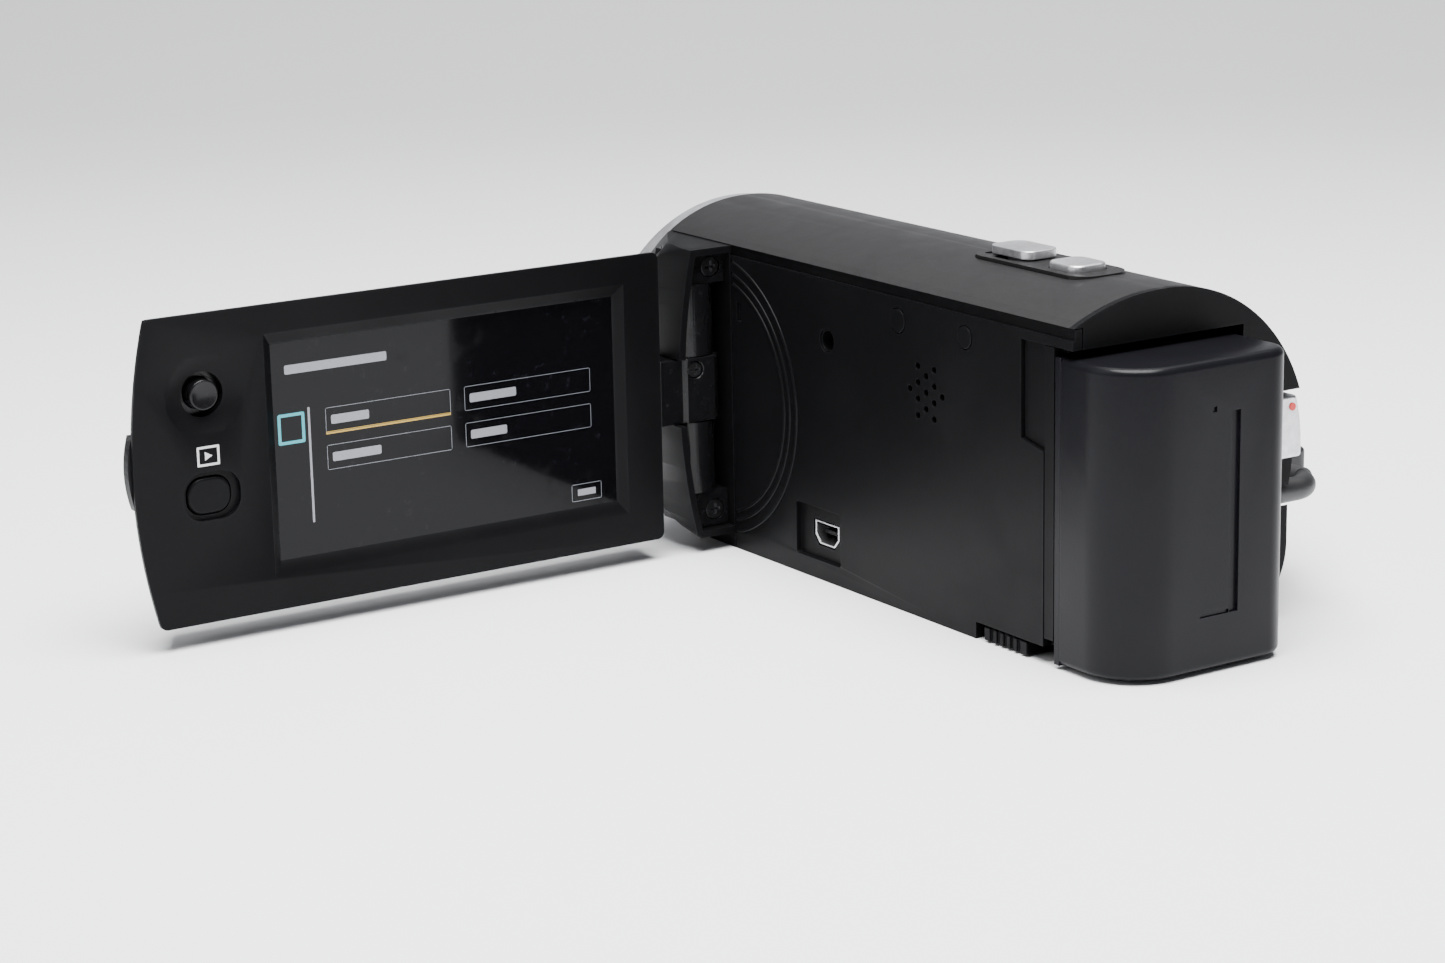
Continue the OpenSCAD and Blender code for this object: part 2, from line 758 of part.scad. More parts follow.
module panel_bezel() {
  color(c_black) placed() difference() {
    union() {
      intersection() {
        panel_form();
        block(panel_x - 1, panel_x + panel_l + 5, panel_y - face_t, panel_y + 1, 0, 3 * body_r);
      }
      along_y(panel_y - face_t, panel_y - edge_t) panel_bump();
    }
    block(view_x0, view_x0 + view_w, panel_y - 4, panel_y + 1, view_z0, view_z0 + view_h);
    hull() {
      block(frame_x0, frame_x0 + frame_w, panel_y, panel_y + 0.1, frame_z0, frame_z0 + frame_h);
      block(view_x0, view_x0 + view_w, panel_y - screen_drop, panel_y, view_z0, view_z0 + view_h);
    }
    block(view_x0 - 1, view_x0 + view_w + 1, panel_y - 4, panel_y - screen_drop, view_z0 - 1, view_z0 + view_h + 1);
    rod_y(key_x, stick_z, stick_hole_r, panel_y - 4, panel_y + 1);
    translate([key_x, panel_y + dish_up, stick_z]) sphere(r = dish_r, $fn = 96);
    along_y(panel_y - 4, panel_y + 1) translate([key_x, play_z]) rrect(7.3, 5.9, 2.6);
    along_y(panel_y - 0.8, panel_y + 1) translate([key_x - 0.3, play_z]) rrect(9.2, 7.4, 3.2);
  }
}

module display_module() {
  color(c_steel) placed() block(view_x0 - 1.6, view_x0 + view_w + 1.6, panel_y - 5, panel_y - face_t - 0.1,
                                view_z0 - 1.6, view_z0 + view_h + 1.6);
}

module display_glass() {
  color(c_glass) placed() block(view_x0 - 0.9, view_x0 + view_w + 0.9, panel_y - face_t, panel_y - screen_drop,
                                view_z0 - 0.9, view_z0 + view_h + 0.9);
}

module panel_board() {
  color(c_board) placed() {
    along_y(panel_y - 6.4, panel_y - 5.6) intersection() {
      panel_sec(lean_x + panel_wall);
      translate([panel_x + 8, 0]) square([2 * panel_l, 3 * body_r]);
    }
    block(key_x - 1.5, key_x + 1.5, panel_y - 5.6, panel_y - 4.6, play_z - 1.5, play_z + 1.5);
  }
}

module play_button() {
  color(c_gloss) placed() along_y(panel_y - 3.6, panel_y - 0.3) translate([key_x, play_z]) rrect(7, 5.6, 2.5);
}

module stick_gimbal() {
  color(c_steel) placed() difference() {
    rod_y(key_x, stick_z, 3.4, pivot_y - 0.4, pivot_y + 0.4);
    rod_y(key_x, stick_z, 1.9, pivot_y - 1, pivot_y + 1);
  }
}

module selector_stick() {
  color(c_gloss) placed() {
    rod_y(key_x, stick_z, 1.2, pivot_y - 0.7, panel_y - 1.8);
    rod_y(key_x, stick_z, flange_r, panel_y - 3.4, panel_y - 2.9);
    difference() {
      rod_y(key_x, stick_z, stick_r, panel_y - 3, panel_y - 0.25);
      translate([key_x, panel_y + 5.4, stick_z]) sphere(r = 6, $fn = 64);
    }
  }
}

module control_pod() {
  color(c_black) placed() difference() {
    along_z(bench_z + 0.3, pod_z) translate([pod_x, pod_y]) rrect(pod_w, pod_l, 3.5);
    along_z(bench_z - 2, pod_z + 1) translate([pod_x, photo_y]) rrect(photo_w + 0.3, photo_l + 0.3, 2);
    along_z(bench_z - 2, pod_z + 1) translate([pod_x, lever_y]) rrect(stem_w + 2 * zoom_reach + 0.4, stem_l + 0.4, 1);
    along_z(pod_z - 1, pod_z + 1) translate([pod_x, pod_y - pod_l / 2 + 2.2]) rrect(pod_w - 4, 1.4, 0.6);
  }
}

module zoom_lever() {
  color(c_silver) placed() {
    along_z(pod_z + 0.2, pod_z + 1.5) translate([pod_x, lever_y]) rrect(lever_w, lever_l, 1.8);
    along_z(bench_z + 1, pod_z + 0.2) translate([pod_x, lever_y]) rrect(stem_w, stem_l, 0.8);
  }
}

module photo_button() {
  color(c_silver) placed() along_z(bench_z + 2, pod_z + 1) translate([pod_x, photo_y]) rrect(photo_w, photo_l, 1.9);
}

module record_button() {
  color(c_silver) placed() along_y(rear_y - 1.8, rear_y + record_out) intersection() {
    body_sec(0.2);
    translate([-2 * body_r, record_z0]) square([body_r + 6.5, record_z1 - record_z0]);
  }
}

module record_dot() {
  color([0.8, 0.08, 0.06]) placed() rod_y(-body_r + 2.3, record_z1 - 1.7, 0.6, rear_y + record_out, rear_y + record_out + 0.15);
}

module power_button() {
  color(c_black) placed() {
    rod_x(power_y, power_z, 1.8, wall_x - cover_t - 1, wall_x + 0.15);
    rod_x(power_y, power_z, 2.6, wall_x - cover_t - 1.2, wall_x - cover_t - 0.1);
  }
}

module light_button() {
  color(c_black) placed() {
    rod_x(light_y, light_z, 1.65, wall_x - cover_t - 1, wall_x + 0.15);
    rod_x(light_y, light_z, 2.2, wall_x - cover_t - 1.2, wall_x - cover_t - 0.1);
  }
}

module status_lamp() {
  color([0.8, 0.45, 0.1]) placed() rod_y(-18.5 * kz, 14 * kz, 0.8, rear_y - 2.5, rear_y - 0.1);
}

module pack_sec(g = 0) {
  r1 = 9 - g;
  r2 = 4.2 - g;
  translate([batt_x0 + g, batt_y0]) square([battery_w - 2 * g, battery_d - 9]);
  translate([batt_x0 + 4.2, batt_y0]) square([battery_w - 13.2, battery_d - g]);
  translate([batt_x0 + g, batt_y0]) square([battery_w - 9 - g, battery_d - 4.2]);
  translate([wall_x - 9, batt_y1 - 9]) circle(r = r1);
  translate([batt_x0 + 4.2, batt_y1 - 4.2]) circle(r = r2);
}

module battery_case() {
  color(c_pack) placed() difference() {
    intersection() {
      along_z(batt_z0, batt_z1) pack_sec();
      block(batt_x0 - 1, wall_x + 1, batt_y0 + 1.2, batt_y1 + 1, 0, 3 * body_r);
    }
    intersection() {
      along_z(batt_z0 + 1.2, batt_z1 - 1.2) pack_sec(1.2);
      block(batt_x0 - 1, wall_x + 1, batt_y0 + 1, batt_y1 + 1, 0, 3 * body_r);
    }
    block(batt_x0 + 10.2, batt_x0 + 11.8, batt_y1 - 0.5, batt_y1 + 1, 8.4 * kz, 37.9 * kz);
    block(batt_x0 + 11.8, batt_x0 + 17.2, batt_y1 - 0.3, batt_y1 + 1, 8.4 * kz, 9 * kz);
    rod_y(batt_x0 + 15, 38.4 * kz, 0.5, batt_y1 - 0.3, batt_y1 + 1);
  }
}

module battery_lid() {
  color(c_pack) placed() intersection() {
    along_z(batt_z0, batt_z1) pack_sec();
    block(batt_x0, wall_x, batt_y0, batt_y0 + 1.2, batt_z0, batt_z1);
  }
}

module battery_cell() {
  color(c_steel) placed() block(batt_x0 + 2.4, wall_x - 4.6, batt_y0 + 1.2, batt_y1 - 4.4, batt_z0 + 1.4, batt_z1 - 1.4);
}

module battery_pads() {
  color(c_brass) placed() {
    for (i = [-1, 0, 1]) {
      block(pad_x + i * pad_pitch - 0.8, pad_x + i * pad_pitch + 0.8,
            batt_y0 - 0.1, batt_y0, pad_z0, pad_z1);
    }
  }
}

module release_slider() {
  color(c_black) placed() difference() {
    block(8, wall_x, slider_y, slider_y + 10, 0.3, 2.3);
    for (i = [0 : 4]) {
      block(wall_x - 0.4, wall_x + 1, slider_y + 1.3 + i * 1.6, slider_y + 2.1 + i * 1.6, 0, 3);
    }
  }
}

module strap_lugs() {
  color(c_steel) placed() {
    for (y = [lug_y0, lug_y1]) {
      rod_z(bar_x, y, bar_r, strap_z0 - 0.5, strap_z0 + strap_w + 0.5);
      difference() {
        union() {
          block(bar_x - 1.6, -body_r * 0.7, y - 2, y + 2, strap_z0 - 1.7, strap_z0 - 0.4);
          block(bar_x - 1.6, -body_r * 0.7, y - 2, y + 2, strap_z0 + strap_w + 0.4, strap_z0 + strap_w + 1.7);
        }
        along_y(y - 3, y + 3) body_sec(-0.12);
      }
    }
  }
}

// Sector of a ring about the strap's centre
module strap_arc(r0, r1, a) {
  intersection() {
    translate([strap_cx, strap_mid_y]) difference() {
      circle(r = r1, $fn = 200);
      circle(r = r0, $fn = 200);
    }
    translate([strap_cx, strap_mid_y]) polygon([[0, 0], [-2 * strap_r, 2 * strap_r * tan(a)],
                                                [-2 * strap_r, -2 * strap_r * tan(a)]]);
  }
}

module hand_strap() {
  color(c_cloth) placed() along_z(strap_z0, strap_z0 + strap_w) difference() {
    union() {
      strap_arc(strap_r + bar_r + 0.4, strap_r + bar_r + 0.4 + strap_t, strap_a);
      for (y = [lug_y0, lug_y1]) translate([bar_x, y]) circle(r = bar_r + 0.4 + strap_t);
    }
    for (y = [lug_y0, lug_y1]) translate([bar_x, y]) circle(r = bar_r + 0.4);
  }
}

module strap_pad() {
  color(c_cloth) placed() along_z(strap_z0 - 2.4, strap_z0 + strap_w + 1.6)
    strap_arc(strap_r - 2.4, strap_r + bar_r + 0.3, pad_a);
}

module usb_lead() {
  color(c_cloth) placed() {
    rod_x(lead_y, lead_z, lead_r, lead_x + lead_turn - 0.01, -crease_x + 2.5);
    rod_y(lead_x, lead_z, lead_r + lead_collar, lead_y - lead_turn - 1.2, lead_y - lead_turn + 1.2);
    translate([lead_x + lead_turn, lead_y - lead_turn, lead_z]) rotate([0, 0, 90])
      rotate_extrude(angle = 90) translate([lead_turn, 0]) circle(r = lead_r, $fn = 32);
    translate([lead_x - lead_sweep_r, lead_y - lead_turn, lead_z]) rotate([0, 0, -lead_a])
      rotate_extrude(angle = lead_a) translate([lead_sweep_r, 0]) circle(r = lead_r, $fn = 32);
  }
}

// Frame of the plug: its length runs along +X from the end of the lead
module at_plug() {
  translate([plug_x, plug_y, lead_z]) rotate([0, 0, -90 - lead_a]) children();
}

module usb_plug() {
  color(c_black) placed() at_plug() translate([0, 0, -2.9]) linear_extrude(height = 5.8)
    translate([10, 0]) rrect(20, 13, 2);
}

module plug_shell() {
  color(c_steel) placed() at_plug() difference() {
    translate([20, -6, -2.25]) cube([12, 12, 4.5]);
    translate([21, -5.7, -1.95]) cube([12, 11.4, 3.9]);
  }
}

module plug_sleeve() {
  color(c_cloth) placed() at_plug() difference() {
    translate([21, -6.9, -2.8]) cube([9.5, 13.8, 5.4 + (strap_z0 - 2.4 - lead_z - 2.6)]);
    translate([20, -6.1, -2.35]) cube([12, 12.2, 4.7]);
  }
}

front_housing();
lens_ring();
lens_bezel();
mic_meshes();
lens_barrel();
front_element();
rear_elements();
image_sensor();
shutter_upper();
shutter_lower();
top_cover();
left_cover();
right_cover();
base_cover();
rear_frame();
body_terminals();
inner_chassis();
main_board();
tripod_insert();
base_screws();
speaker();
digital_socket();
socket_tongue();
phones_jack();
hinge_cover();
pocket_screws();
hinge_pin();
hinge_block();
block_screw();
swivel_shaft();
panel_shell();
panel_bezel();
display_module();
display_glass();
panel_board();
panel_screws();
play_button();
stick_gimbal();
selector_stick();
control_pod();
zoom_lever();
photo_button();
record_button();
record_dot();
power_button();
light_button();
status_lamp();
battery_case();
battery_lid();
battery_cell();
battery_pads();
release_slider();
card_door();
strap_lugs();
hand_strap();
strap_pad();
usb_lead();
usb_plug();
plug_shell();
plug_sleeve();
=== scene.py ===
"""Looks of a compact camcorder with its display panel open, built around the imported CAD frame."""
import json
import math

import bmesh
import bpy
from mathutils import Matrix, Vector, noise


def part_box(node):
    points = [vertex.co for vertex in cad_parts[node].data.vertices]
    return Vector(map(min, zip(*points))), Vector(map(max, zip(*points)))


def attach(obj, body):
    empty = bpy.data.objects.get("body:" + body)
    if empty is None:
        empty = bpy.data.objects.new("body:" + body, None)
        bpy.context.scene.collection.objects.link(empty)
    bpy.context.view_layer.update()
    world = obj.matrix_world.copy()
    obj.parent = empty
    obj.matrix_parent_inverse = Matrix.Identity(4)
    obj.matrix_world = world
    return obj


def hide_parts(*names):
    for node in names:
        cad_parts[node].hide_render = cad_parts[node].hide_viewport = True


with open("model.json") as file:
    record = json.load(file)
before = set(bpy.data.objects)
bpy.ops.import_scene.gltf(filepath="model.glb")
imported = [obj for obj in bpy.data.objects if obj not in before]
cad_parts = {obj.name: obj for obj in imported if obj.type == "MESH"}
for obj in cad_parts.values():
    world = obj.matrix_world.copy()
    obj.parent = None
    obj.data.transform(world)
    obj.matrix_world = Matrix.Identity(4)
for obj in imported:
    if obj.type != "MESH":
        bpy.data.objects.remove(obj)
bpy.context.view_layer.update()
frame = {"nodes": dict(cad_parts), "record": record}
nodes = frame["nodes"]
MM = 0.001
body_of = {n: b for b, ns in frame["record"]["behaviour"]["bodies"].items() for n in ns}
slot_of = {s["node"]: s["material_slot"] for s in frame["record"]["subparts"]}


# ---------------------------------------------------------------- camera, light and stage
CAMERA_YAW = -2.1442


def add_camera():
    yaw, pitch, roll = CAMERA_YAW, -0.2459, -0.0206
    forward = Vector((math.cos(pitch) * math.cos(yaw), math.cos(pitch) * math.sin(yaw), math.sin(pitch)))
    right = forward.cross(Vector((0, 0, 1))).normalized()
    up = right.cross(forward)
    x_axis = right * math.cos(roll) + up * math.sin(roll)
    y_axis = up * math.cos(roll) - right * math.sin(roll)
    data = bpy.data.cameras.new("camera")
    data.lens = 83.6
    data.sensor_width = 36
    data.clip_start = 0.01
    data.clip_end = 20
    camera = bpy.data.objects.new("camera", data)
    bpy.context.scene.collection.objects.link(camera)
    place = Matrix((x_axis, y_axis, -forward)).transposed().to_4x4()
    place.translation = (0.30595, 0.41374, 0.14404)
    camera.matrix_world = place
    bpy.context.scene.camera = camera


def area_light(name, place, target, size, power):
    data = bpy.data.lights.new(name, "AREA")
    data.shape = "RECTANGLE"
    data.size, data.size_y = size
    data.energy = power
    lamp = bpy.data.objects.new(name, data)
    bpy.context.scene.collection.objects.link(lamp)
    lamp.location = place
    aim = Vector(target) - Vector(place)
    lamp.rotation_euler = aim.to_track_quat("-Z", "Y").to_euler()


def add_lights():
    world = bpy.data.worlds.new("studio")
    bpy.context.scene.world = world
    world.use_nodes = True
    shade = world.node_tree.nodes["Background"]
    shade.inputs["Color"].default_value = (0.92, 0.93, 0.96, 1)
    shade.inputs["Strength"].default_value = 0.22
    area_light("overhead_softbox", (0.1, 0.16, 0.72), (0.02, 0.06, 0), (0.6, 0.5), 26)
    area_light("left_softbox", (0.95, -0.2, 0.6), (0, 0, 0.03), (0.8, 0.8), 3)
    area_light("rear_softbox", (-0.4, -0.45, 1.1), (-0.2, -0.3, 0), (1.2, 0.7), 6)


def add_stage(paper):
    """A paper sweep: a floor that curves up behind the object, across the camera's heading."""
    front, bend, radius, top = 2.6, -0.55, 0.5, 1.6
    half_width, below = 3.5, 0.00002
    steps = 24
    profile = [(front, 0.0), (bend, 0.0)]
    for i in range(1, steps + 1):
        turn = math.radians(90) * i / steps
        profile.append((bend - radius * math.sin(turn), radius - radius * math.cos(turn)))
    profile.append((bend - radius, top))
    heading = Vector((math.cos(CAMERA_YAW), math.sin(CAMERA_YAW), 0))
    across = Vector((-heading.y, heading.x, 0))
    mesh = bpy.data.meshes.new("studio_sweep")
    verts = []
    for distance, height in profile:
        for side in (-half_width, half_width):
            verts.append(tuple(-heading * distance + across * side + Vector((0, 0, height - below))))
    faces = [(2 * i, 2 * i + 1, 2 * i + 3, 2 * i + 2) for i in range(len(profile) - 1)]
    mesh.from_pydata(verts, [], faces)
    for face in mesh.polygons:
        face.use_smooth = True
    sweep = bpy.data.objects.new("studio_sweep", mesh)
    bpy.context.scene.collection.objects.link(sweep)
    sweep.data.materials.append(paper)


# ---------------------------------------------------------------- materials
class Shader:
    """A principled material and short ways to add the nodes that most finishes share."""

    def __init__(self, name, color, roughness, metallic=0.0, specular=0.5):
        self.material = bpy.data.materials.new(name)
        self.material.use_nodes = True
        self.tree = self.material.node_tree
        self.bsdf = self.tree.nodes["Principled BSDF"]
        self.set("Base Color", (*color, 1))
        self.set("Roughness", roughness)
        self.set("Metallic", metallic)
        self.set("Specular IOR Level", specular)
        self.place = self.new("ShaderNodeTexCoord").outputs["Object"]

    def new(self, kind, **settings):
        node = self.tree.nodes.new(kind)
        for key, value in settings.items():
            setattr(node, key, value)
        return node

    def set(self, socket, value):
        self.bsdf.inputs[socket].default_value = value

    def link(self, a, b):
        self.tree.links.new(a, b)

    def noise(self, scale, detail=3.0, stretch=None):
        place = self.place
        if stretch:
            mapping = self.new("ShaderNodeMapping")
            mapping.inputs["Scale"].default_value = stretch
            self.link(place, mapping.inputs["Vector"])
            place = mapping.outputs["Vector"]
        texture = self.new("ShaderNodeTexNoise")
        texture.inputs["Scale"].default_value = scale
        texture.inputs["Detail"].default_value = detail
        self.link(place, texture.inputs["Vector"])
        return texture.outputs["Fac"]

    def cells(self, scale):
        texture = self.new("ShaderNodeTexVoronoi")
        texture.inputs["Scale"].default_value = scale
        self.link(self.place, texture.inputs["Vector"])
        return texture

    def span(self, value, low, high, start=0.3, end=0.7):
        ramp = self.new("ShaderNodeMapRange")
        ramp.inputs["From Min"].default_value = start
        ramp.inputs["From Max"].default_value = end
        ramp.inputs["To Min"].default_value = low
        ramp.inputs["To Max"].default_value = high
        self.link(value, ramp.inputs["Value"])
        return ramp.outputs["Result"]

    def blend(self, factor, low, high):
        mix = self.new("ShaderNodeMix", data_type="RGBA")
        for socket, value in ((6, low), (7, high)):
            if hasattr(value, "links"):
                self.link(value, mix.inputs[socket])
            else:
                mix.inputs[socket].default_value = (*value, 1)
        self.link(factor, mix.inputs[0])
        return mix.outputs[2]

    def bump(self, height, depth):
        node = self.new("ShaderNodeBump")
        node.inputs["Distance"].default_value = depth
        self.link(height, node.inputs["Height"])
        previous = self.bsdf.inputs["Normal"].links
        if previous:
            self.link(previous[0].from_socket, node.inputs["Normal"])
        self.link(node.outputs["Normal"], self.bsdf.inputs["Normal"])

    def edge(self, radius):
        """1 along sharp edges, 0 elsewhere, from how far a rounded normal leans away from the true one."""
        rounded = self.new("ShaderNodeBevel", samples=4)
        rounded.inputs["Radius"].default_value = radius
        true = self.new("ShaderNodeNewGeometry").outputs["Normal"]
        dot = self.new("ShaderNodeVectorMath", operation="DOT_PRODUCT")
        self.link(rounded.outputs["Normal"], dot.inputs[0])
        self.link(true, dot.inputs[1])
        return self.span(dot.outputs["Value"], 1.0, 0.0, 0.93, 0.995)


def shade(color, factor):
    return tuple(min(1.0, c * factor) for c in color)


def moulded(name, color, roughness, grain=3200, **extra):
    """Moulded plastic: fine grain, faint tone drift, and along its edges polish (lower roughness) with a
    painted highlight in a lighter tone.
    """
    edge_highlight_amount = 0.35
    s = Shader(name, color, roughness, **extra)
    drift = s.noise(38, 4)
    grainy = s.noise(grain, 2)
    tone = s.blend(s.span(drift, 0, 1), shade(color, 0.86), shade(color, 1.16))
    # edge mask for the painted highlight in the colour and the lower roughness along the edges
    edge_highlight_mask = s.edge(0.0005)
    smudge = s.span(s.noise(85, 5), 0.0, 1.0, 0.45, 0.75)
    edge_highlight_and_polish = s.new("ShaderNodeMath", operation="MULTIPLY")
    s.link(edge_highlight_mask, edge_highlight_and_polish.inputs[0])
    s.link(s.span(s.noise(220, 3), 0.25, edge_highlight_amount + 0.25), edge_highlight_and_polish.inputs[1])
    # painted highlight: base colour lightened 2.4 times along the edges, broken up by noise
    s.link(s.blend(edge_highlight_and_polish.outputs[0], tone, shade(color, 2.4)), s.bsdf.inputs["Base Color"])
    base = s.span(smudge, roughness - 0.05, roughness + 0.06, 0, 1)
    gloss = s.new("ShaderNodeMath", operation="SUBTRACT")
    s.link(base, gloss.inputs[0])
    scaled = s.new("ShaderNodeMath", operation="MULTIPLY")
    s.link(edge_highlight_and_polish.outputs[0], scaled.inputs[0])
    scaled.inputs[1].default_value = 0.22
    s.link(scaled.outputs[0], gloss.inputs[1])
    s.link(gloss.outputs[0], s.bsdf.inputs["Roughness"])
    s.bump(grainy, 0.000012)
    return s.material


def flake_paint(name, color, roughness):
    """Graphite paint with fine metal flakes that vary in tone and tilt."""
    s = Shader(name, color, roughness, metallic=0.15, specular=0.3)
    cell = s.cells(5200)
    tone = s.blend(s.span(cell.outputs["Color"], 0, 1, 0.1, 0.9), shade(color, 0.7), shade(color, 1.5))
    cloud = s.span(s.noise(30, 4), 0.0, 0.25)
    s.link(s.blend(cloud, tone, shade(color, 0.8)), s.bsdf.inputs["Base Color"])
    s.link(s.span(s.noise(120, 4), roughness - 0.05, roughness + 0.06), s.bsdf.inputs["Roughness"])
    s.bump(cell.outputs["Distance"], 0.000006)
    s.bump(s.noise(900, 2), 0.000006)
    return s.material


def polished(name, color, roughness, **extra):
    """Gloss plastic: very shallow waviness, faint dust and fine hairline scratches."""
    s = Shader(name, color, roughness, **extra)
    dust = s.span(s.noise(700, 6), 0.0, 1.0, 0.62, 0.78)
    s.link(s.blend(dust, color, shade(color, 3.0)), s.bsdf.inputs["Base Color"])
    hair = s.span(s.noise(260, 8, (1, 14, 1)), 0, 1, 0.55, 0.8)
    s.link(s.span(hair, roughness, roughness + 0.14, 0, 1), s.bsdf.inputs["Roughness"])
    s.bump(s.noise(45, 2), 0.00002)
    return s.material


def metal(name, color, roughness):
    """Bare metal with fine tone and gloss changes."""
    s = Shader(name, color, roughness, metallic=1.0)
    lines = s.noise(900, 4)
    tone = s.blend(s.span(lines, 0, 1), shade(color, 0.85), shade(color, 1.1))
    s.link(tone, s.bsdf.inputs["Base Color"])
    s.link(s.span(s.noise(90, 5), roughness - 0.06, roughness + 0.08), s.bsdf.inputs["Roughness"])
    s.bump(lines, 0.000004)
    return s.material


def woven(name, color, pitch, depth):
    """Plain weave drawn by two crossed waves, with thread-to-thread tone changes and sheen."""
    s = Shader(name, color, 0.92, specular=0.25)
    s.set("Sheen Weight", 0.25)
    s.set("Sheen Roughness", 0.5)
    waves = []
    for axis in ("Y", "Z"):
        wave = s.new("ShaderNodeTexWave", wave_type="BANDS", bands_direction=axis)
        wave.inputs["Scale"].default_value = 1 / pitch / math.pi
        wave.inputs["Distortion"].default_value = 0.6
        wave.inputs["Detail"].default_value = 1.5
        s.link(s.place, wave.inputs["Vector"])
        waves.append(wave.outputs["Fac"])
    over = s.new("ShaderNodeMath", operation="MULTIPLY")
    s.link(waves[0], over.inputs[0])
    s.link(waves[1], over.inputs[1])
    fuzz = s.noise(2600, 4)
    tone = s.blend(over.outputs[0], shade(color, 0.45), shade(color, 1.5))
    s.link(s.blend(s.span(fuzz, 0, 0.5), tone, shade(color, 2.0)), s.bsdf.inputs["Base Color"])
    s.bump(over.outputs[0], depth)
    s.bump(fuzz, depth * 0.3)
    return s.material


def glass_coated(name, color):
    s = Shader(name, color, 0.03)
    s.set("Transmission Weight", 0.85)
    s.set("IOR", 1.5)
    s.set("Coat Weight", 1.0)
    s.set("Coat Roughness", 0.02)
    s.set("Coat Tint", (0.55, 0.65, 1.0, 1))
    s.link(s.span(s.noise(160, 4), 0.02, 0.05), s.bsdf.inputs["Roughness"])
    return s.material


def circuit(name, color):
    s = Shader(name, color, 0.4)
    tracks = s.new("ShaderNodeTexBrick")
    tracks.inputs["Scale"].default_value = 420
    tracks.inputs["Color1"].default_value = (*color, 1)
    tracks.inputs["Color2"].default_value = (*shade(color, 1.3), 1)
    tracks.inputs["Mortar"].default_value = (*shade(color, 2.0), 1)
    s.link(s.place, tracks.inputs["Vector"])
    s.link(tracks.outputs["Color"], s.bsdf.inputs["Base Color"])
    s.bump(tracks.outputs["Fac"], 0.00003)
    return s.material


def glowing(name, color, strength):
    """A lit part of the display, with a slight unevenness in its brightness."""
    s = Shader(name, shade(color, 0.4), 0.2)
    s.set("Emission Color", (*color, 1))
    flicker = s.span(s.noise(1800, 2), strength * 0.85, strength * 1.1)
    s.link(flicker, s.bsdf.inputs["Emission Strength"])
    return s.material


def stage_paper():
    """Pale paper with painted shade: darker away from the object and up the backdrop."""
    pale, cloudy = (0.83, 0.835, 0.85), (0.8, 0.805, 0.82)
    painted_far_shade, painted_high_shade = (0.66, 0.665, 0.675), (0.3, 0.305, 0.32)
    s = Shader("stage_paper", pale, 0.75, specular=0.2)
    height = s.new("ShaderNodeSeparateXYZ")
    s.link(s.place, height.inputs[0])
    spread = s.new("ShaderNodeVectorMath", operation="LENGTH")
    s.link(s.place, spread.inputs[0])
    paper = s.blend(s.span(s.noise(6, 3), 0, 0.3), pale, cloudy)
    # painted shade: the paper colour darkens with distance from the object and with height, standing in
    # for light falloff
    paper = s.blend(s.span(spread.outputs["Value"], 0, 1, 0.16, 0.5), paper, painted_far_shade)
    paper = s.blend(s.span(height.outputs["Z"], 0, 1, 0.0, 0.28), paper, painted_high_shade)
    s.link(paper, s.bsdf.inputs["Base Color"])
    return s.material


MATERIALS = {
    "cover_paint": flake_paint("cover_paint", (0.009, 0.0086, 0.009), 0.42),
    "black_plastic": moulded("black_plastic", (0.0032, 0.0032, 0.0036), 0.44, specular=0.07),
    "gloss_black": polished("gloss_black", (0.004, 0.004, 0.0045), 0.24, specular=0.2),
    "silver_trim": metal("silver_trim", (0.66, 0.66, 0.68), 0.42),
    "plain_steel": metal("plain_steel", (0.55, 0.55, 0.56), 0.28),
    "black_screw": metal("black_screw", (0.05, 0.05, 0.052), 0.38),
    "contact_brass": metal("contact_brass", (0.78, 0.56, 0.25), 0.25),
    "chassis_metal": metal("chassis_metal", (0.6, 0.6, 0.62), 0.4),
    "circuit_board": circuit("circuit_board", (0.02, 0.12, 0.06)),
    "lens_glass": glass_coated("lens_glass", (0.75, 0.8, 0.95)),
    "display_cover": polished("display_cover", (0.002, 0.002, 0.0026), 0.06, specular=0.15),
    "display_backing": metal("display_backing", (0.5, 0.5, 0.52), 0.4),
    "pack_plastic": moulded("pack_plastic", (0.004, 0.004, 0.0052), 0.34, grain=2600, specular=0.12),
    "pack_cell": metal("pack_cell", (0.6, 0.6, 0.62), 0.35),
    "red_paint": polished("red_paint", (0.55, 0.02, 0.015), 0.3),
    "lamp_lens": polished("lamp_lens", (0.5, 0.22, 0.05), 0.2),
    "strap_web": woven("strap_web", (0.018, 0.018, 0.02), 0.0006, 0.00015),
    "pad_cover": woven("pad_cover", (0.022, 0.022, 0.024), 0.0009, 0.0002),
    "cord_rubber": moulded("cord_rubber", (0.012, 0.012, 0.013), 0.5, grain=1800),
}


# ---------------------------------------------------------------- finished copies of the CAD nodes
BEVEL_ANGLE = math.radians(32)
CREASE_ANGLE = math.radians(38)


def soften_shading(mesh, angle):
    """Smooth shading that stays sharp where faces meet at more than the angle."""
    for face in mesh.polygons:
        face.use_smooth = True
    mesh.set_sharp_from_angle(angle=angle)


def dress(piece, node):
    """Gives a piece its node's finish, body and slot, and lets it stand for the node."""
    piece.data.materials.clear()
    piece.data.materials.append(MATERIALS[slot_of[node]])
    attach(piece, body_of[node])
    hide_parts(node)


def apply_modifiers(piece):
    deps = bpy.context.evaluated_depsgraph_get()
    mesh = bpy.data.meshes.new_from_object(piece.evaluated_get(deps))
    piece.modifiers.clear()
    piece.data = mesh


